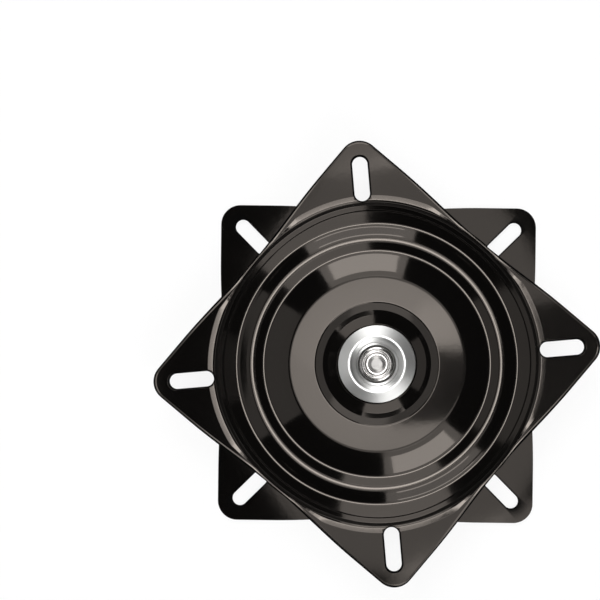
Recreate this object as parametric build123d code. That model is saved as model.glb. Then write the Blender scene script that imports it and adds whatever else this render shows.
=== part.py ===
from build123d import *

import os
from math import atan, atan2, cos, radians, sin, sqrt, tan

# A square swivel base for a seat: two pressed steel plates that face each other and turn on one
# ring of caged balls, held together by a dished hub cup and a rivet. Millimetres, Z up. The origin
# is on the swivel axis, on the surface that the base plate stands on, and the diagonals of the
# base plate lie along X and Y.

# Overall size
plate_side = 203.0
overall_height = 24.0
sheet = 2.0
corner_radius = 12.5
side_draw_in = 2.3  # how far the pressing pulls in the middle of a side
draw_in_reach = 55.0  # from the middle of a side to where that pull ends
draw_in_bend = 200.0  # radius where the pull runs out into the straight side
seat_turn = -39.4  # degrees from the base plate to the seat plate

# Bolt slots, one in each corner, along the diagonal
slot_width = 9.5
slot_length = 27.5
slot_corner_margin = 10.0  # from the end of a slot to the tip of its corner

# Ball race
ball_diameter = 8.0
ball_count = 20
ball_clearance = 0.05
race_relief = 0.6  # how much larger than the ball the race is pressed
race_half_width = 8.8  # from the middle of the race to the valley on each side
valley_gap = 1.5  # between the two plates at their valleys

# Steps of the pressing from the corner faces in to the race: run along the radius and rise
fold_margin = 0.8  # how far the top of the dish wall lies inside the middle of a side
wall_run = 1.2
ledge_run, ledge_rise = 1.8, 0.55
step_run, step_rise = 1.0, 0.95
band_run, band_rise = 5.8, 1.4

# Raised dome between the race and the cup that holds the hub
dome_run = 11.0
dome_drop = 4.8  # from the corner faces down to the top of the dome
cup_wall_run = 3.0
cup_cone_run = 8.3
cup_cone_angle = 10.0  # degrees
cup_floor_gap = 1.0  # between the cup floors of the two plates

# Inside radii of the bends
dome_bend = 24.0
soft_bend = 3.0
sharp_bend = 1.2

# Ball cage
cage_thickness = 2.0
cage_web = 1.3  # between a pocket and the rim of the cage
pocket_clearance = 0.12

# Rivet
rivet_radius = 6.0
rivet_clearance = 0.05
rivet_head_radius = 10.6
rivet_rim_height = 0.9
rivet_crest_radius = 9.0  # ring that the spinning tool raises on the upper head
rivet_crest_height = 2.2
rivet_groove_width = 2.0  # from the crest in to the foot of the boss
rivet_groove_depth = 0.9
rivet_boss_width = 1.6  # slope from the groove up to the boss
rivet_boss_height = 1.9
rivet_bend = 0.5
base_head_height = 3.0

# Hub cup, a dished washer that the rivet holds down on the base plate
cup_sheet = 1.5
cup_bend = 1.0
cup_dish_margin = 0.9  # between the rivet head and the foot of the dish wall
cup_dish_run = 5.3
cup_flange_width = 7.6
cup_flange_droop = 0.4
cup_floor_margin = 0.6  # between the flange and the foot of the cone

# Glide ring between the flange of the hub cup and the seat plate
glide_thickness = 1.0
glide_clearance = 0.1
glide_inset = 0.4  # from the edge of the flange to the edge of the ring
pivot_clearance = 0.3  # from the hub cup to what turns around it

# Radii and heights that follow. Heights are above the middle plane between the plates, for the
# face of a plate that looks away from the other plate.
middle = overall_height / 2
ball_radius = ball_diameter / 2
fold_radius = plate_side / 2 - side_draw_in - fold_margin
wall_foot_radius = fold_radius - wall_run
step_top_radius = wall_foot_radius - ledge_run
step_foot_radius = step_top_radius - step_run
outer_valley_radius = step_foot_radius - band_run
race_radius = outer_valley_radius - race_half_width
inner_valley_radius = race_radius - race_half_width
dome_radius = inner_valley_radius - dome_run

dish_foot_radius = rivet_head_radius + cup_dish_margin
dish_rim_radius = dish_foot_radius + cup_dish_run
flange_radius = dish_rim_radius + cup_flange_width
cone_foot_radius = flange_radius + cup_floor_margin
cone_top_radius = cone_foot_radius + cup_cone_run
cup_rim_radius = cone_top_radius + cup_wall_run

corner_height = middle
dome_height = middle - dome_drop
race_height = ball_radius + ball_clearance + sheet
valley_height = valley_gap / 2 + sheet
step_foot_height = valley_height + band_rise
step_top_height = step_foot_height + step_rise
wall_foot_height = step_top_height + ledge_rise
cup_floor_height = cup_floor_gap / 2 + sheet
cone_top_height = cup_floor_height + cup_cone_run * tan(radians(cup_cone_angle))
dish_floor_height = cup_sheet - cup_floor_gap / 2
flange_height = cup_floor_height + glide_thickness + glide_clearance + cup_sheet
dish_rim_height = flange_height + cup_flange_droop


def race_corner_height(bend):
    """Height of the corner of two straight flanks whose bend of this radius tops out at race_height."""
    rise = race_height - valley_height
    span = race_half_width
    half = (span - sqrt(span**2 - rise * (2 * bend - rise))) / (2 * bend - rise)
    return race_height + bend * (1 / cos(2 * atan(half)) - 1)


def sheet_section(points, bends, thickness):
    """Section of a bent sheet below a line of straight runs, with the inside radius of each bend."""
    corners = [Vector(*point) for point in points]
    runs = [(end - start).normalized() for start, end in zip(corners, corners[1:])]
    downs = [Vector(run.Y, -run.X) for run in runs]
    shifts = [(a + b) / (1 + a.dot(b)) for a, b in zip(downs, downs[1:])]
    shifts = [downs[0], *shifts, downs[-1]]
    under = [corner + shift * thickness for corner, shift in zip(corners, shifts)]
    hollow = [a.cross(b).Z > 0 for a, b in zip(runs, runs[1:])]
    upper_bends = [bend if up else bend + thickness for bend, up in zip(bends, hollow)]
    under_bends = [bend + thickness if up else bend for bend, up in zip(bends, hollow)]
    upper = FilletPolyline(*corners, radius=upper_bends)
    lower = FilletPolyline(*under, radius=under_bends)
    ends = [Line(corners[0], under[0]), Line(corners[-1], under[-1])]
    return make_face([*upper.edges(), *lower.edges(), *ends])


def turned(section):
    """Solid of revolution about the swivel axis of a section drawn as radius and height."""
    return revolve(Plane.XZ * section, Axis.Z)


def plate_outline():
    """Square with rounded corners, sides along X and Y, each pulled in a little around its middle."""
    half = plate_side / 2
    pull = ThreePointArc((-draw_in_reach, half), (0, half - side_draw_in), (draw_in_reach, half))
    side = [Line((-half, half), pull @ 0), pull, Line(pull @ 1, (half, half))]
    square = make_face([Rot(0, 0, 90 * quarter) * edge for quarter in range(4) for edge in side])
    pulled = fillet(square.vertices().sort_by_distance((0, 0, 0))[:8], draw_in_bend)
    return fillet(pulled.vertices().sort_by_distance((0, 0, 0))[-4:], corner_radius)


def corner_tip_radius(outline):
    """Distance from the swivel axis to the tip of a corner."""
    return max(edge.position_at(0.5).length for edge in outline.edges())


def hub_wall_radius(height):
    """Radius of the outside of the hub cup's sloping wall at a height."""
    slope = atan2(dish_rim_height - dish_floor_height, cup_dish_run)
    along = (height - dish_floor_height) / tan(slope)
    return dish_foot_radius + along + cup_sheet / sin(slope)


def pressed_plate(hole_radius):
    """One plate with the middle plane at Z = 0, its sides along X and Y and its dish open upwards."""
    race_bend = ball_radius + race_relief
    outline = plate_outline()
    tip_radius = corner_tip_radius(outline)
    points = [
        (hole_radius, cup_floor_height),
        (cone_foot_radius, cup_floor_height),
        (cone_top_radius, cone_top_height),
        (cup_rim_radius, dome_height),
        (dome_radius, dome_height),
        (inner_valley_radius, valley_height),
        (race_radius, race_corner_height(race_bend + sheet)),
        (outer_valley_radius, valley_height),
        (step_foot_radius, step_foot_height),
        (step_top_radius, step_top_height),
        (wall_foot_radius, wall_foot_height),
        (fold_radius, corner_height),
        (tip_radius + sheet, corner_height),
    ]
    cup_bends = [soft_bend, sharp_bend, soft_bend]
    race_bends = [dome_bend, sharp_bend, race_bend, sharp_bend]
    wall_bends = [sharp_bend, sharp_bend, sharp_bend, sharp_bend]
    dish = turned(sheet_section(points, [*cup_bends, *race_bends, *wall_bends], sheet))
    slot_radius = tip_radius - slot_corner_margin - slot_length / 2
    slot = extrude(SlotOverall(slot_length, slot_width), overall_height, both=True)
    slots = [place * slot for place in PolarLocations(slot_radius, 4, start_angle=45)]
    blank = extrude(outline, overall_height, both=True) - slots
    return dish & blank


def seat_plate():
    """Upper plate, which turns around the hub cup."""
    plate = pressed_plate(hub_wall_radius(cup_floor_height) + pivot_clearance)
    return Pos(0, 0, middle) * Rot(0, 0, 45 + seat_turn) * plate


def base_plate():
    """Lower plate, the same pressing upside down, with a hole for the rivet."""
    plate = pressed_plate(rivet_radius + rivet_clearance)
    return Pos(0, 0, middle) * Rot(180, 0, 45) * plate


def race_balls():
    """Balls that carry the seat plate, half way between the two races."""
    places = PolarLocations(race_radius, ball_count)
    return Pos(0, 0, middle) * Compound([place * Sphere(ball_radius) for place in places])


def ball_cage():
    """Flat ring with a rounded pocket for each ball."""
    pocket_radius = ball_radius + pocket_clearance
    half_width = pocket_radius + cage_web
    ring = Cylinder(race_radius + half_width, cage_thickness)
    ring -= Cylinder(race_radius - half_width, cage_thickness)
    ring -= [place * Sphere(pocket_radius) for place in PolarLocations(race_radius, ball_count)]
    return Pos(0, 0, middle) * ring


def hub_cup():
    """Dished washer: its floor sits on the base plate and its flange keeps the seat plate down."""
    points = [
        (rivet_radius + rivet_clearance, dish_floor_height),
        (dish_foot_radius, dish_floor_height),
        (dish_rim_radius, dish_rim_height),
        (flange_radius, flange_height),
    ]
    return Pos(0, 0, middle) * turned(sheet_section(points, [cup_bend, cup_bend], cup_sheet))


def glide_ring():
    """Flat ring that lies on the seat plate under the flange of the hub cup."""
    top = cup_floor_height + glide_thickness
    inner_radius = hub_wall_radius(top) + pivot_clearance
    ring = Cylinder(flange_radius - glide_inset, glide_thickness, align=STANDING)
    ring -= Cylinder(inner_radius, glide_thickness, align=STANDING)
    return Pos(0, 0, middle + cup_floor_height) * ring


def centre_rivet():
    """Rivet with a flat head under the base plate and a spun head on the floor of the hub cup."""
    seat = -cup_floor_gap / 2 - sheet
    foot = seat - base_head_height
    floor = dish_floor_height
    groove_radius = rivet_crest_radius - rivet_groove_width
    boss_radius = groove_radius - rivet_boss_width
    points = [
        (0, foot),
        (rivet_head_radius, foot),
        (rivet_head_radius, seat),
        (rivet_radius, seat),
        (rivet_radius, floor),
        (rivet_head_radius, floor),
        (rivet_head_radius, floor + rivet_rim_height),
        (rivet_crest_radius, floor + rivet_crest_height),
        (groove_radius, floor + rivet_crest_height - rivet_groove_depth),
        (boss_radius, floor + rivet_boss_height),
        (0, floor + rivet_boss_height),
    ]
    bends = [base_head_height / 3, 0, 0, 0, 0, rivet_bend, rivet_bend, rivet_bend, rivet_bend]
    line = FilletPolyline(*points, radius=bends)
    axis = Line(points[-1], points[0])
    return Pos(0, 0, middle) * turned(make_face([*line.edges(), axis]))


STANDING = (Align.CENTER, Align.CENTER, Align.MIN)
PIECES = [base_plate, seat_plate, race_balls, ball_cage, hub_cup, glide_ring, centre_rivet]

os.makedirs("parts", exist_ok=True)
for piece in PIECES:
    export_step(piece(), f"parts/{piece.__name__}.step")
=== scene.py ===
# %% [markdown]
# A swivel base carries a seat: two square plates of pressed steel face each other, turn on one
# ring of balls and are held together by a dished hub and a rivet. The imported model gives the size
# and the place of every piece, so this lesson loads it first and only then makes things look real.

# %% Tools and the fixed frame
from math import atan2, copysign, cos, hypot, pi, radians, sin, sqrt, tan

import bmesh
import bpy
from mathutils import Matrix, Vector


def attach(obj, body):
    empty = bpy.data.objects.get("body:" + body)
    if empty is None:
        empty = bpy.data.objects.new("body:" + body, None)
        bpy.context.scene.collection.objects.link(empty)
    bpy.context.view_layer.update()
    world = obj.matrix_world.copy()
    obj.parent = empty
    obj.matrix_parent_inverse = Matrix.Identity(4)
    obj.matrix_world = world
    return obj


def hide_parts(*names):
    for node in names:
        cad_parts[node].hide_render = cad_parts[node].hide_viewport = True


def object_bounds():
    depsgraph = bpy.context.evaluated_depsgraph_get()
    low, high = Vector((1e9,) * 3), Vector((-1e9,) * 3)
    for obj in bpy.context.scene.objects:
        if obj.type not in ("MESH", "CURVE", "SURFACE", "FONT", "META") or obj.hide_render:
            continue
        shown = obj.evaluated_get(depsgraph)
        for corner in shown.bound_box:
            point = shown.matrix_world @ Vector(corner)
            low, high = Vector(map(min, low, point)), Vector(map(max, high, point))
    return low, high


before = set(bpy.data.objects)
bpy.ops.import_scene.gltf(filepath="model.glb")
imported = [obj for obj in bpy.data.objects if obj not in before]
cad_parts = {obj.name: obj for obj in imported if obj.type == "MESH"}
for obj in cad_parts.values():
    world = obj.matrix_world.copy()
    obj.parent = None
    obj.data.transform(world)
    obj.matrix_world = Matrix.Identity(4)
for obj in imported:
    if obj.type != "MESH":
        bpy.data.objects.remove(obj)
cad_low, cad_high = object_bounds()
scene = bpy.context.scene
mm = 0.001
print("nodes:", sorted(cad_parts), "size:", [round(s, 4) for s in cad_high - cad_low])

# %% [markdown]
# The photograph looks straight down on the plates from about half a metre, with the swivel axis
# off to the lower right of the picture. A tilted camera would turn the rings into ovals, so the
# camera stays level over the axis and its lens is shifted, as a product photographer does.

# %% Camera
# The picture is measured in pixels, film and lens in millimetres, the turn in degrees
PICTURE = 600
AXIS_PIXEL = Vector((376.9, 364.1))
CAMERA_HEIGHT = 0.482
CAMERA_TURN = -44.3
FILM_WIDTH, LENS = 36, 44.66
NEAREST_SEEN = 0.01

camera = bpy.data.objects.new("camera", bpy.data.cameras.new("camera"))
scene.collection.objects.link(camera)
camera.location = (0, 0, CAMERA_HEIGHT)
camera.rotation_euler = (0, 0, radians(CAMERA_TURN))
camera.data.sensor_width = FILM_WIDTH
camera.data.lens = LENS
camera.data.shift_x = 0.5 - AXIS_PIXEL.x / PICTURE
camera.data.shift_y = AXIS_PIXEL.y / PICTURE - 0.5
camera.data.clip_start = NEAREST_SEEN
scene.camera = camera
scene.view_settings.view_transform = "Standard"
print("camera at", tuple(camera.location), "shift", camera.data.shift_x, camera.data.shift_y)

# %% [markdown]
# Gloss black shows little but what it mirrors, so the lamps are the picture. Level plates mirror
# what hangs overhead: a round lamp for the dome, a small bright spot in its middle that draws a
# thin line into every bend, two weak ovals that lift the upper side, and a large dim panel for the
# corners. Slopes mirror what stands round the plates: a tall panel over the top of the picture and
# one over the bottom, each with a brighter core and a low strip for the steepest walls, and a weak
# panel on the left. One even sky would be less work, but it would turn the plates plain grey.
# Directions are given as they appear in the picture and are then turned with the camera. Each lamp
# gets its brightness, and its power follows from its area.

# %% Lamps
STAND_DISTANCE = 1.2
CORE_DISTANCE = 0.9 * STAND_DISTANCE
WORLD_GREY = 0.02
# Low corner and high corner in the picture, height and brightness
OVERHEAD = {
    "overhead_core": ((-0.33, -0.33), (0.33, 0.33), 2.0, 3.1),
    "overhead_spot": ((-0.14, -0.14), (0.14, 0.14), 1.85, 9.0),
    "overhead_upper": ((-0.36, -0.05), (0.31, 0.36), 1.97, 0.5),
    "overhead_hot": ((0.12, 0.03), (0.30, 0.22), 1.94, 1.2),
    "overhead_fill": ((-0.52, -0.77), (0.68, 0.77), 2.3, 1.7),
}
# Direction and half width, low and high tilt away from overhead, distance and brightness
ROUND_ABOUT = {
    "top_panel": (97.5, 24, 16, 62, STAND_DISTANCE, 2.6),
    "top_core": (97.5, 19, 41, 57, CORE_DISTANCE, 4.3),
    "top_low": (70, 42, 67, 83, STAND_DISTANCE, 1.2),
    "bottom_panel": (297, 23, 16, 62, STAND_DISTANCE, 2.2),
    "bottom_core": (297, 18, 41, 57, CORE_DISTANCE, 4.3),
    "bottom_low": (265, 42, 67, 83, STAND_DISTANCE, 1.0),
    "left_panel": (180, 33, 18.5, 59, STAND_DISTANCE, 0.7),
}
picture_turn = Matrix.Rotation(radians(CAMERA_TURN), 3, "Z")


def middle_and_size(low, high):
    """Middle and size of a flat rectangle, from its low corner to its high corner."""
    low, high = Vector(low), Vector(high)
    return (low + high) / 2, high - low


def lamp(name, place, across, along, width, length, brightness, shape="RECTANGLE"):
    """Flat lamp of a width and a length, shining away from the cross product of its sides."""
    light = bpy.data.lights.new(name, "AREA")
    light.shape = shape
    light.size = width
    light.size_y = length
    area = width * length * (pi / 4 if shape == "ELLIPSE" else 1)
    light.energy = brightness * pi * area
    holder = bpy.data.objects.new(name, light)
    holder.location = picture_turn @ place
    sides = Matrix((across, along, across.cross(along))).transposed()
    holder.rotation_mode = "QUATERNION"
    holder.rotation_quaternion = (picture_turn @ sides).to_quaternion()
    scene.collection.objects.link(holder)
    print(name, "gives", round(light.energy, 1), "W")


def hanging(name, low, high, height, brightness):
    """Round or oval lamp overhead, from its low corner to its high corner in the picture."""
    middle, size = middle_and_size(low, high)
    place = Vector((*middle, height))
    lamp(name, place, Vector((1, 0, 0)), Vector((0, 1, 0)), *size, brightness, "ELLIPSE")


def standing(name, turn, spread, low_tilt, high_tilt, distance, brightness):
    """Upright lamp in a direction, from one tilt away from overhead to another, in degrees."""
    out = Vector((cos(radians(turn)), sin(radians(turn)), 0))
    up = Vector((0, 0, 1))
    bottom, top = distance / tan(radians(high_tilt)), distance / tan(radians(low_tilt))
    place = out * distance + up * (bottom + top) / 2
    width = 2 * distance * tan(radians(spread))
    lamp(name, place, up.cross(out), up, width, top - bottom, brightness)


for name, values in OVERHEAD.items():
    hanging(name, *values)
for name, values in ROUND_ABOUT.items():
    standing(name, *values)

world = bpy.data.worlds.new("studio")
world.use_nodes = True
world.node_tree.nodes["Background"].inputs["Color"].default_value = (*[WORLD_GREY] * 3, 1)
scene.world = world

# %% [markdown]
# Every finish below is a small network of nodes. One class wraps a socket so that sums read as
# Python, and one method adds a node of any other kind: its settings first, then what goes into
# its sockets. Adding and linking each node by hand would say the same in five times the lines.


# %% Sockets as Python values
class Tone:
    """A socket of a node tree. Maths on it adds Math nodes."""

    def __init__(self, tree, socket=None):
        self.tree = tree
        self.socket = socket

    def node(self, kind, settings=None, sockets=None, output=0):
        """Adds a node of a kind with its settings and inputs, and returns one of its outputs."""
        made = self.tree.nodes.new("ShaderNode" + kind)
        for key, value in (settings or {}).items():
            setattr(made, key, value)
        for key, value in (sockets or {}).items():
            if isinstance(value, Tone):
                self.tree.links.new(value.socket, made.inputs[key])
            else:
                made.inputs[key].default_value = value
        return Tone(self.tree, made.outputs[output] if made.outputs else None)

    def math(self, operation, first, second):
        """Adds a Math node for an operation on two values."""
        return self.node("Math", {"operation": operation}, {0: first, 1: second})

    def __add__(self, other):
        return self.math("ADD", self, other)

    def __sub__(self, other):
        return self.math("SUBTRACT", self, other)

    def __rsub__(self, other):
        return self.math("SUBTRACT", other, self)

    def __mul__(self, other):
        return self.math("MULTIPLY", self, other)

    __radd__ = __add__
    __rmul__ = __mul__


def new_finish(name):
    """An empty material and a tone that adds nodes to it."""
    material = bpy.data.materials.new(name)
    material.use_nodes = True
    material.node_tree.nodes.clear()
    return material, Tone(material.node_tree)


def noise(tone, place, scale, detail=2.0, roughness=0.5):
    """Noise of a number of spots per metre, from 0 to 1."""
    inputs = {"Vector": place, "Scale": scale, "Detail": detail, "Roughness": roughness}
    return tone.node("TexNoise", {}, inputs, "Fac")


print("finishes can be written as sums")

# %% [markdown]
# Most shapes here are round, so one drawn line, turned about the swivel axis, makes each of them. A
# line is drawn as a sheet is bent: each straight run is an extruded vertex, and each bend is the
# same vertex spun about the centre of the bend. A bevel on a line of sharp corners would be the
# quick way, but it gives all bends one radius, and here each bend has its own.


# %% Bent lines and turned shapes
BEND_STEP = radians(5)
FEWEST_BEND_STEPS = 2
MERGE_DISTANCE = 0.001 * mm


def run_to(bm, pen, place):
    """Draws a straight run of a line from its last vertex."""
    tip = bmesh.ops.extrude_vert_indiv(bm, verts=[pen])["verts"][0]
    bmesh.ops.translate(bm, verts=[tip], vec=Vector(place) - tip.co)
    return tip


def bent_line(bm, corners):
    """Draws straight runs between corners, each with its radius, its height and its bend."""
    places = [Vector((across, 0, up)) for across, up, _ in corners]
    bends = [bend for _, _, bend in corners[1:]]
    pen = bm.verts.new(places[0])
    for before, corner, after, bend in zip(places, places[1:], places[2:], bends):
        coming = (corner - before).normalized()
        going = (after - corner).normalized()
        turn = atan2(coming.x * going.z - coming.z * going.x, coming.dot(going))
        start = corner - coming * bend * tan(abs(turn) / 2)
        pen = run_to(bm, pen, start)
        if bend > 0:
            centre = start + Vector((-coming.z, 0, coming.x)) * copysign(bend, turn)
            steps = max(FEWEST_BEND_STEPS, round(abs(turn) / BEND_STEP))
            arc = bmesh.ops.spin(
                bm, geom=[pen], cent=centre, axis=(0, -1, 0), angle=turn, steps=steps
            )
            pen = next(v for v in arc["geom_last"] if isinstance(v, bmesh.types.BMVert))
    return run_to(bm, pen, places[-1])


def turn_round(bm, steps):
    """Turns the drawn line about the swivel axis into a skin."""
    line = bm.verts[:] + bm.edges[:]
    bmesh.ops.spin(
        bm, geom=line, cent=(0, 0, 0), axis=(0, 0, 1), angle=2 * pi, steps=steps, use_merge=True
    )
    bmesh.ops.remove_doubles(bm, verts=bm.verts[:], dist=MERGE_DISTANCE)
    bmesh.ops.recalc_face_normals(bm, faces=bm.faces[:])


def new_piece(name, bm, material=None):
    """Makes an object of a finished bmesh, at the origin and shaded smooth."""
    for face in bm.faces:
        face.smooth = True
    mesh = bpy.data.meshes.new(name)
    bm.to_mesh(mesh)
    bm.free()
    piece = bpy.data.objects.new(name, mesh)
    scene.collection.objects.link(piece)
    if material:
        mesh.materials.append(material)
    print(name, "has", len(mesh.polygons), "faces")
    return piece


print("a square bend is drawn in", round(pi / 2 / BEND_STEP), "steps")

# %% [markdown]
# The floor is a pale disc that curves up into a low wall all round, a studio sweep. A flat sheet
# would be enough for the view from above. The wall closes the view from low angles and puts a thin
# pale line into the bends of the black sheet. To the camera and in mirrors the sweep shines by
# itself, so it comes out white without more light on the plates, and it still takes their shadow.

# %% Floor
FLOOR_RADIUS = 2.6
FLOOR_BEND = 0.6
WALL_HEIGHT = 1.1
FLOOR_STEPS = 64
FLOOR_GREY = 0.92
FLOOR_SHINE = 0.85

sweep_white, tone = new_finish("sweep_white")
seen = tone.node("LightPath", output="Is Camera Ray")
for ray in ("Is Glossy Ray", "Is Transmission Ray"):
    seen = tone.math("MAXIMUM", seen, tone.node("LightPath", output=ray))
lit = tone.node("BsdfDiffuse", {}, {"Color": (*[FLOOR_GREY] * 3, 1)})
own = tone.node("Emission", {}, {"Color": (1, 1, 1, 1), "Strength": 1.0})
mixed = tone.node("MixShader", {}, {0: seen * FLOOR_SHINE, 1: lit, 2: own})
tone.node("OutputMaterial", {}, {"Surface": mixed})

sweep = bmesh.new()
bent_line(
    sweep, [(0, 0, 0), (FLOOR_RADIUS, 0, FLOOR_BEND), (FLOOR_RADIUS, WALL_HEIGHT, 0)]
)
turn_round(sweep, FLOOR_STEPS)
if sum(face.normal.z * face.calc_area() for face in sweep.faces) < 0:
    bmesh.ops.reverse_faces(sweep, faces=sweep.faces[:])
floor = new_piece("floor", sweep, sweep_white)

# %% [markdown]
# A camera over a gloss plate always hides part of the light and leaves a dark patch in the
# reflection. A black card under the round lamp does the same here, to the right of the hub, and a
# smaller one beside it keeps the right corner dark. A hole cut into the lamp would look the same,
# but a card can be moved by itself.

# %% Black cards
CARD_HEIGHT = 1.9
CARD_GREY = 0.2
# Low corner and high corner in the picture
CARDS = {
    "black_card": ((0.05, -0.19), (0.75, 0.05)),
    "side_card": ((0.42, 0.05), (0.75, 0.19)),
}

card_black, tone = new_finish("card_black")
dull = tone.node("BsdfDiffuse", {}, {"Color": (*[CARD_GREY] * 3, 1)})
tone.node("OutputMaterial", {}, {"Surface": dull})

for name, corners in CARDS.items():
    middle, size = middle_and_size(*corners)
    card = bmesh.new()
    bmesh.ops.create_grid(card, x_segments=1, y_segments=1, size=0.5)
    bmesh.ops.scale(card, vec=(*size, 1), verts=card.verts[:])
    bmesh.ops.translate(card, vec=(*middle, CARD_HEIGHT), verts=card.verts[:])
    bmesh.ops.transform(card, matrix=picture_turn.to_4x4(), verts=card.verts[:])
    new_piece(name, card, card_black)

# %% [markdown]
# Both plates are the same pressing, one turned over. On the real part a flat blank is cut to a
# square with round corners and slots, and a press forms the rings. Here the rings come first. The
# section of the sheet is drawn as one closed line: along the upper face from the hub outwards,
# round the rim, and back along the underside, which follows the upper face at the thickness of
# the sheet. Turned about the axis it makes a round plate with a rounded rim. A Solidify modifier
# could thicken a thin skin instead, but it would leave the bends of the two faces to chance.

# %% Section of the pressed plate
MIDDLE = (cad_low.z + cad_high.z) / 2
SHEET = 2.0
RIM = 108.0
FOLD = 98.7
FLANGE = 11.9
UNDER_ROUND, HOLE_ROUND = 0.3, 0.3
# Radius, height over the middle plane and bend of each corner, in millimetres
SECTION = [
    (24.2, 2.5, 1.0),
    (30.8, 4.05, 0.8),
    (33.8, 6.1, 0.8),
    (38.3, 9.6, 1.6),
    (56.6, 9.6, 16.0),
    (70.3, 3.75, 5.0),
    (77.0, 6.05, 10.0),
    (80.3, 6.05, 5.5),
    (87.3, 2.9, 4.5),
    (94.5, 5.4, 0.5),
    (95.2, 6.5, 0.5),
    (97.9, 7.35, 0.8),
    (FOLD, 11.5, 2.2),
    (103.0, FLANGE, 5.0),
    (105.7, FLANGE, 3.0),
]
RIM_SECTION = [
    (106.55, FLANGE + 0.12, 0.8),
    (107.7, FLANGE - 0.4, 0.4),
    (RIM, FLANGE - 1.2, 0.4),
    (RIM, FLANGE - SHEET, UNDER_ROUND),
]


def sheet_line(upper, rim, thickness):
    """Closed corners of a bent sheet: its upper face, its rim and the underside of that face."""
    places = [Vector((across, up)) for across, up, _ in upper]
    runs = [(end - start).normalized() for start, end in zip(places, places[1:])]
    downs = [Vector((run.y, -run.x)) for run in runs]
    shifts = [(a + b) / (1 + a.dot(b)) for a, b in zip(downs, downs[1:])]
    under = [places[0] + downs[0] * thickness]
    bends = [upper[0][2]]
    for place, shift, coming, going, corner in zip(places[1:], shifts, runs, runs[1:], upper[1:]):
        under.append(place + shift * thickness)
        bends.append(corner[2] + copysign(thickness, coming.cross(going)))
    under.append(places[-1] + downs[-1] * thickness)
    bends.append(upper[-1][2])
    back = [(place.x, place.y, bend) for place, bend in zip(under, bends)]
    start = (upper[0][0], (upper[0][1] + back[0][1]) / 2, 0)
    return [start, *upper, *rim, *reversed(back), start]


def turned_line(corners, steps):
    """Skin of a line in millimetres over the middle plane, turned about the axis."""
    bm = bmesh.new()
    bent_line(bm, [(across * mm, up * mm, bend * mm) for across, up, bend in corners])
    turn_round(bm, steps)
    heights = [v.co.z / mm for v in bm.verts]
    print("turned from", round(min(heights), 3), "to", round(max(heights), 3), "mm")
    return bm


print("the section has", len(SECTION) + len(RIM_SECTION), "corners on its upper face and rim")

# %% [markdown]
# The round plate becomes square when its rim is pulled out to the outline of the blank. The
# outline comes from a square whose tips are bevelled, and each of its points pulls one radial line
# of the skin. In the middle of a side the outline lies inside the rim, so there the flange is
# squeezed against the fold into a narrow lip, and the press also draws the dish wall in a little.
# Cutting a larger round plate to the square would be shorter, but a cut rim has no rounding.

# %% Outline of the plate
PLATE_SIDE = 203 * mm
SIDE_DRAW_IN = 2.3 * mm
DRAW_IN_REACH = 66 * mm
SIDE_CUTS, LONG_EDGE_CUTS = 15, 2
LONG_EDGE = 6 * mm
CORNER_RADIUS = 12.5 * mm
CORNER_SEGMENTS = 12
ON_AXIS = 0.1 * mm
FULL_TURN_GUARD = 1e-6
FLAT_FROM = 105.4 * mm
MOST_RIM = 0.8
WALL_FROM, WALL_TO = 89 * mm, 95 * mm
WALL_DRAW_IN = 1.1 * mm


def plate_outline():
    """Angle and reach of the points of a square with round corners on X and Y."""
    bm = bmesh.new()
    bmesh.ops.create_circle(bm, cap_ends=True, radius=PLATE_SIDE / sqrt(2), segments=4)
    bmesh.ops.subdivide_edges(bm, edges=bm.edges[:], cuts=SIDE_CUTS)
    tips = [v for v in bm.verts if min(abs(v.co.x), abs(v.co.y)) < ON_AXIS]
    bmesh.ops.bevel(
        bm, geom=tips, offset=CORNER_RADIUS, offset_type="OFFSET", affect="VERTICES",
        segments=CORNER_SEGMENTS, profile=0.5, material=-1,
    )
    long_edges = [e for e in bm.edges if e.calc_length() > LONG_EDGE]
    bmesh.ops.subdivide_edges(bm, edges=long_edges, cuts=LONG_EDGE_CUTS)
    for vert in bm.verts:
        along = (abs(vert.co.x) - abs(vert.co.y)) / sqrt(2)
        out = Vector((copysign(1, vert.co.x), copysign(1, vert.co.y), 0)).normalized()
        share = cos(pi / 2 * min(abs(along) / DRAW_IN_REACH, 1)) ** 2
        vert.co -= out * SIDE_DRAW_IN * share
    outline = sorted(
        ((atan2(v.co.y, v.co.x) + FULL_TURN_GUARD) % (2 * pi), v.co.xy.length) for v in bm.verts
    )
    bm.free()
    farthest = max(reach for _, reach in outline)
    print("outline has", len(outline), "points, the farthest at", round(farthest / mm, 2), "mm")
    return outline


def pull_out(bm, outline):
    """Pulls the rim of a round plate to the outline, its wall out at corners and in on sides."""
    step = 2 * pi / len(outline)
    rim_width = RIM * mm - FLAT_FROM
    for vert in bm.verts:
        radius = vert.co.xy.length
        angle, reach = outline[round(atan2(vert.co.y, vert.co.x) / step) % len(outline)]
        draw = WALL_DRAW_IN * cos(4 * angle)
        fold = FOLD * mm + draw
        rim = min(rim_width, MOST_RIM * (reach - fold))
        flat = reach - rim - fold
        if radius > FLAT_FROM:
            radius = reach - (RIM * mm - radius) * rim / rim_width
        else:
            radius += draw * min(max((radius - WALL_FROM) / (WALL_TO - WALL_FROM), 0), 1)
            if radius > fold:
                radius = fold + (radius - fold) * min(flat / (FLAT_FROM - FOLD * mm), 1)
        vert.co.x, vert.co.y = radius * cos(angle), radius * sin(angle)


print("the sides are drawn in by", SIDE_DRAW_IN / mm, "mm")

# %% [markdown]
# The bolt slots are punched through the corners, and the enamel flows round their rims. A cutter
# that widens towards both faces leaves such a rim: a slope between two rounds on the upper face, a
# small round on the underside. The cutter is a stack of stretched circles joined by bridges, and a
# Boolean takes it out of the plate. A bevel after the cut would have to find its way round the
# fold that the slot runs into.

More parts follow.
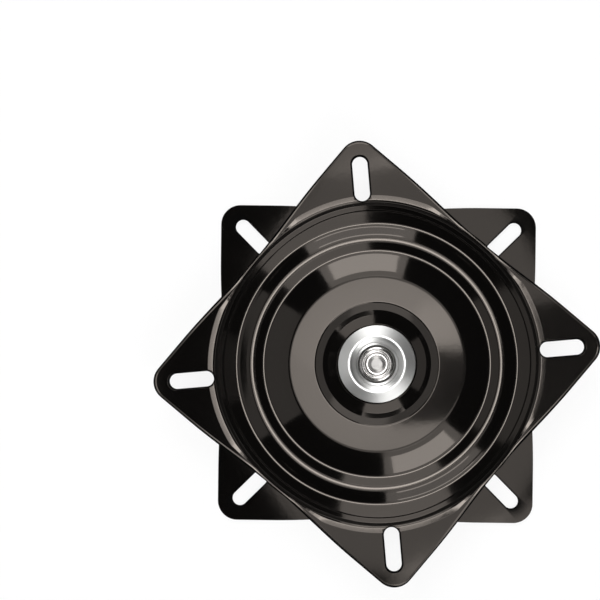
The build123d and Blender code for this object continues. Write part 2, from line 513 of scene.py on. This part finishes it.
# %% Slots
SLOT_RADIUS = 114.615 * mm
SLOT_WIDTH = 9.5 * mm
SLOT_LENGTH = 27.5 * mm
SLOT_SEGMENTS = 48
# How far the slot widens and how deep below the face that happens, in millimetres
SLOT_RIM = [(1.25, 0.0), (1.05, 0.03), (0.85, 0.1), (0.3, 0.36), (0.12, 0.5), (0.0, 0.8)]
SLOT_UNDER_RIM = [(0.4, 0.0), (0.25, 0.03), (0.12, 0.12), (0.03, 0.25), (0.0, 0.4)]
OVER = 0.02 * mm
CUTTER_REACH = 1.0 * mm


def slot_rings():
    """Widening and height of the rings of a slot cutter, from the underside up."""
    top, bottom = FLANGE * mm + OVER, (FLANGE - SHEET) * mm - OVER
    low = [(wider * mm, bottom + deep * mm) for wider, deep in SLOT_UNDER_RIM]
    high = [(wider * mm, top - deep * mm) for wider, deep in reversed(SLOT_RIM)]
    first = (low[0][0], bottom - CUTTER_REACH)
    last = (high[-1][0], top + CUTTER_REACH)
    return [first, *low, *high, last]


def slot_cutters():
    """The four slots, along the diagonals."""
    bm = bmesh.new()
    half_step = Matrix.Rotation(pi / SLOT_SEGMENTS, 4, "Z")
    rings = slot_rings()
    ends = (rings[0][1], rings[-1][1])
    loops = []
    for wider, height in rings:
        ring = bmesh.ops.create_circle(
            bm, cap_ends=height in ends, radius=SLOT_WIDTH / 2 + wider, segments=SLOT_SEGMENTS,
            matrix=half_step,
        )["verts"]
        for sign in (-1, 1):
            half = [v for v in ring if v.co.x * sign > 0]
            bmesh.ops.translate(bm, verts=half, vec=(sign * (SLOT_LENGTH - SLOT_WIDTH) / 2, 0, 0))
        bmesh.ops.translate(bm, verts=ring, vec=(SLOT_RADIUS, 0, height))
        loops.append(list({edge for vert in ring for edge in vert.link_edges}))
    for lower, upper in zip(loops, loops[1:]):
        bmesh.ops.bridge_loops(bm, edges=lower + upper)
    bmesh.ops.recalc_face_normals(bm, faces=bm.faces[:])
    bmesh.ops.spin(
        bm, geom=bm.verts[:] + bm.edges[:] + bm.faces[:], cent=(0, 0, 0), axis=(0, 0, 1),
        angle=1.5 * pi, steps=3, use_duplicate=True,
    )
    return bm


def cut(name, bm, tool):
    """Takes one bmesh out of another."""
    body = new_piece(name, bm)
    cutter = new_piece(name + "_cutter", tool)
    step = body.modifiers.new("slots", "BOOLEAN")
    step.operation = "DIFFERENCE"
    step.object = cutter
    step.solver = "EXACT"
    result = bmesh.new()
    result.from_object(body, bpy.context.evaluated_depsgraph_get())
    for used in (body, cutter):
        bpy.data.objects.remove(used)
    return result


print("a slot measures", SLOT_WIDTH / mm, "by", SLOT_LENGTH / mm, "mm")

# %% [markdown]
# The rim and the slots get a dull black outline of painted shade: the enamel turns matte there, so
# the edges mirror nothing and read dark. A second material on those faces would end in a hard line.
# So each vertex gets a mark instead, 1 on a cut edge and 0 elsewhere, which the enamel reads below.
# The rim is marked while the plate is round, where one radius tells it from the rest.

# %% Painted shade on the cut edges
# The mark below carries a painted shade, matte black along the rim and the slots.
EDGE_SHADE_MARK = "painted_edge_shade"
SHADED_RIM_FROM = 106.7 * mm
EDGE_SHADE_WIDTH = 0.9 * mm
EDGE_SHADE_ABOVE = 0.15


def mark_rim_shade(bm):
    """Marks the sheared rim of a plate that is still round, where the enamel gets a painted shade.
    """
    mark = bm.verts.layers.float.new(EDGE_SHADE_MARK)
    for vert in bm.verts:
        above = vert.co.z > (FLANGE - SHEET + EDGE_SHADE_ABOVE) * mm
        vert[mark] = float(above and vert.co.xy.length > SHADED_RIM_FROM)


def mark_slot_shade(bm):
    """Marks the sheared walls of the slots, where the enamel gets a painted shade."""
    mark = bm.verts.layers.float[EDGE_SHADE_MARK]
    for vert in bm.verts:
        across, along = sorted((abs(vert.co.x), abs(vert.co.y)))
        past_end = max(abs(along - SLOT_RADIUS) - (SLOT_LENGTH - SLOT_WIDTH) / 2, 0)
        if hypot(across, past_end) < SLOT_WIDTH / 2 + EDGE_SHADE_WIDTH:
            vert[mark] = 1.0
    print(sum(vert[mark] > 0 for vert in bm.verts), "points lie on cut edges")


print("a cut edge is dull up to", EDGE_SHADE_WIDTH / mm, "mm from a slot")

# %% [markdown]
# Now the steps come together: the section is turned, pulled square, cut, and moved to its place.
# Smooth shading alone would bend the flat faces near each round, so weighted normals let the large
# faces keep their flat reflection.

# %% Plates
FLAT_WEIGHT = 50


def keep_flat(piece):
    """Lets large faces set the normals."""
    step = piece.modifiers.new("flat_faces", "WEIGHTED_NORMAL")
    step.mode = "FACE_AREA"
    step.weight = FLAT_WEIGHT


def pressed_plate(name, hole_radius, place, body, material):
    """One finished plate in its place."""
    outline = plate_outline()
    upper = [(hole_radius, SECTION[0][1], HOLE_ROUND), *SECTION]
    corners = sheet_line(upper, RIM_SECTION, SHEET)
    bm = turned_line(corners, len(outline))
    mark_rim_shade(bm)
    pull_out(bm, outline)
    bm = cut(name, bm, slot_cutters())
    mark_slot_shade(bm)
    bmesh.ops.transform(bm, matrix=place, verts=bm.verts[:])
    piece = new_piece(name, bm, material)
    keep_flat(piece)
    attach(piece, body)
    return piece


print("a plate is pressed from a sheet of", SHEET, "mm")

# %% [markdown]
# The plates are dipped or sprayed in gloss black. The coat is almost a mirror, warm grey where it
# shows a lamp, with a faint waviness as of orange peel and softer spots where hands have been. A
# plain black with one roughness would look like plastic. So a bump works on the scale of the peel,
# noise in the roughness breaks up the mirror, and the marked cut edges turn matte black: a painted
# shade along the outline.

# %% Enamel
PEEL_DEPTH = 0.008 * mm

black_enamel, tone = new_finish("black_enamel")
place = tone.node("TexCoord", output="Object")
peel = noise(tone, place, 260, 3.0)
smudge = noise(tone, place, 34, 4.0, 0.6)
bump = tone.node("Bump", {}, {"Strength": 1.0, "Distance": PEEL_DEPTH, "Height": peel})
enamel = tone.node(
    "BsdfPrincipled",
    {},
    {
        "Base Color": (0.0022, 0.002, 0.0019, 1),
        "Roughness": smudge * 0.08 + 0.03,
        "IOR": 1.45,
        "Specular Tint": (1.0, 0.89, 0.80, 1),
        "Normal": bump,
    },
)
# Painted shade: the marked cut edges lose their gloss and turn matte black.
painted_edge_shade = tone.node("Attribute", {"attribute_name": EDGE_SHADE_MARK}, {}, "Fac")
matte_shade = tone.node("BsdfDiffuse", {}, {"Color": (0.003, 0.003, 0.003, 1)})
enamel_and_edge_shade = tone.node("MixShader", {}, {0: painted_edge_shade, 1: enamel, 2: matte_shade})
tone.node("OutputMaterial", {}, {"Surface": enamel_and_edge_shade})
print("black enamel is ready")

# %% [markdown]
# The seat plate lies on top, turned as in the photograph, with a wide hole for the hub. The base
# plate is the same pressing turned over, with a hole for the rivet only. Two models could drift
# apart, so one function makes both.

# %% Seat plate and base plate
SEAT_TURN = radians(90 - 39.4)
SEAT_HOLE, BASE_HOLE = 16.3, 6.05

lift = Matrix.Translation((0, 0, MIDDLE))
turned_as_seen = lift @ Matrix.Rotation(SEAT_TURN, 4, "Z")
turned_over = lift @ Matrix.Rotation(pi, 4, "X")
seat_plate = pressed_plate(
    "seat_plate_pressing", SEAT_HOLE, turned_as_seen, "seat", black_enamel
)
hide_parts("seat_plate")
base_plate = pressed_plate(
    "base_plate_pressing", BASE_HOLE, turned_over, "base", black_enamel
)
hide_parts("base_plate")

# %% [markdown]
# The hub is bright metal that was turned and spun, so its marks run in rings. A picture wrapped
# round it could show them, but it would need a seam. Noise that only knows the distance from the
# swivel axis makes rings without one.


# %% Ring patterns
def axis_distance(tone, place):
    """Distance of a point from the swivel axis."""
    flat = tone.node("VectorMath", {"operation": "MULTIPLY"}, {0: place, 1: (1, 1, 0)})
    return tone.node("VectorMath", {"operation": "LENGTH"}, {0: flat}, "Value")


def ring_marks(tone, radius, rings):
    """Noise of a number of rings per metre round the swivel axis, from 0 to 1."""
    inputs = {"W": radius * rings, "Detail": 2.0}
    return tone.node("TexNoise", {"noise_dimensions": "1D"}, inputs, "Fac")


def within(tone, radius, full, none):
    """1 up to the radius full, falling to 0 at the radius none."""
    inputs = {"Value": radius, "From Min": full, "From Max": none}
    return 1 - tone.node("MapRange", {}, inputs, "Result")


print("rings can follow the swivel axis")

# %% [markdown]
# The hub cup is a thick dished washer of zinc plated steel. Its flange droops like a cone, so each
# sector of it mirrors one side of the room, and its crest is a bright ring. A bare torus would
# show the ring but no sectors, so the cup is drawn and turned like the plates, from its own
# section. Zinc has fine spots all over and is a little rougher inside the dish.

# %% Zinc
ZINC_DEPTH = 0.004 * mm
DISH_INSIDE, DISH_RIM = 15.5 * mm, 16.5 * mm

zinc_plate, tone = new_finish("zinc_plate")
place = tone.node("TexCoord", output="Object")
radius = axis_distance(tone, place)
turned = ring_marks(tone, radius, 5200)
inside = within(tone, radius, DISH_INSIDE, DISH_RIM)
spots = noise(tone, place, 320, 4.0, 0.6)
bump = tone.node("Bump", {}, {"Strength": 1.0, "Distance": ZINC_DEPTH, "Height": turned + spots})
zinc = tone.node(
    "BsdfPrincipled",
    {},
    {
        "Base Color": (0.5, 0.5, 0.49, 1),
        "Metallic": 1.0,
        "Roughness": spots * 0.05 + inside * 0.06 + 0.27,
        "Normal": bump,
    },
)
tone.node("OutputMaterial", {}, {"Surface": zinc})
print("zinc plate is ready")

# %% Hub cup
CUP_SHEET = 1.5
CUP_STEPS = 128
# Radius, height over the middle plane and bend of each corner, in millimetres
CUP_SECTION = [
    (6.05, 1.0, 0.2),
    (11.2, 1.0, 0.6),
    (12.0, 3.9, 0.6),
    (13.4, 4.6, 0.3),
    (13.9, 5.3, 0.3),
    (16.8, 7.1, 4.2),
    (24.4, 5.5, 0.5),
]

cup = turned_line(sheet_line(CUP_SECTION, [], CUP_SHEET), CUP_STEPS)
hub_cup = new_piece("hub_cup_washer", cup, zinc_plate)
hub_cup.data.transform(lift)
keep_flat(hub_cup)
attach(hub_cup, "base")
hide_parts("hub_cup")

# %% [markdown]
# The rivet goes through the hub cup and the base plate and is closed by a spinning tool, which
# leaves rings on its head and a rough middle. The rings are large enough to be drawn into its line.
# The finer marks of the tool and the dents in the middle are left to a bump.

# %% Rivet steel
RIVET_DEPTH = 0.03 * mm
ROUGH_INSIDE, ROUGH_RIM = 4.8 * mm, 5.8 * mm

rivet_steel, tone = new_finish("rivet_steel")
place = tone.node("TexCoord", output="Object")
radius = axis_distance(tone, place)
inside = within(tone, radius, ROUGH_INSIDE, ROUGH_RIM)
rings = ring_marks(tone, radius, 3000)
dents = noise(tone, place, 900, 3.0, 0.6)
height = rings * 0.3 + dents * inside * 6
bump = tone.node("Bump", {}, {"Strength": 1.0, "Distance": RIVET_DEPTH, "Height": height})
steel = tone.node(
    "BsdfPrincipled",
    {},
    {
        "Base Color": (0.34, 0.33, 0.32, 1),
        "Metallic": 1.0,
        "Roughness": inside * 0.15 + dents * 0.15 + 0.12,
        "Normal": bump,
    },
)
tone.node("OutputMaterial", {}, {"Surface": steel})
print("rivet steel is ready")

# %% Rivet
RIVET_STEPS = 96
# Radius, height over the middle plane and bend of each corner, in millimetres
RIVET_LINE = [
    (0.0, -5.5, 0),
    (10.6, -5.5, 1.0),
    (10.6, -2.5, 0.2),
    (6.0, -2.5, 0),
    (6.0, 1.0, 0),
    (10.6, 1.0, 0.2),
    (10.8, 3.0, 0.5),
    (9.7, 3.5, 0.4),
    (8.9, 4.6, 0.8),
    (8.1, 3.9, 0.3),
    (7.5, 4.2, 0.5),
    (6.6, 3.2, 0.4),
    (5.6, 3.2, 0.4),
    (3.6, 4.4, 1.2),
    (0.0, 4.5, 0),
]

rivet = new_piece("centre_rivet_spun", turned_line(RIVET_LINE, RIVET_STEPS), rivet_steel)
rivet.data.transform(lift)
keep_flat(rivet)
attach(rivet, "base")
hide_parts("centre_rivet")

# %% [markdown]
# The balls, their cage and the glide ring hide between the plates. They could be modelled again,
# but their solids are already true to shape, so they only get finishes: polished steel with fine
# marks, and nylon with a soft mottle.

# %% Finishes of the hidden pieces
ball_steel, tone = new_finish("ball_steel")
place = tone.node("TexCoord", output="Object")
marks = noise(tone, place, 900, 2.0)
polished = tone.node(
    "BsdfPrincipled",
    {},
    {"Base Color": (0.6, 0.6, 0.61, 1), "Metallic": 1.0, "Roughness": marks * 0.1 + 0.04},
)
tone.node("OutputMaterial", {}, {"Surface": polished})

nylon, tone = new_finish("nylon")
place = tone.node("TexCoord", output="Object")
mottle = noise(tone, place, 150, 4.0)
shade = tone.node(
    "Mix",
    {"data_type": "RGBA"},
    {"Factor": mottle, "A": (0.72, 0.7, 0.63, 1), "B": (0.82, 0.81, 0.76, 1)},
    "Result",
)
satin = tone.node(
    "BsdfPrincipled", {}, {"Base Color": shade, "Roughness": mottle * 0.2 + 0.3}
)
tone.node("OutputMaterial", {}, {"Surface": satin})

for node, finish in (("race_balls", ball_steel), ("ball_cage", nylon), ("glide_ring", nylon)):
    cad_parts[node].data.materials[0] = finish
    print(node, "has the finish", finish.name)
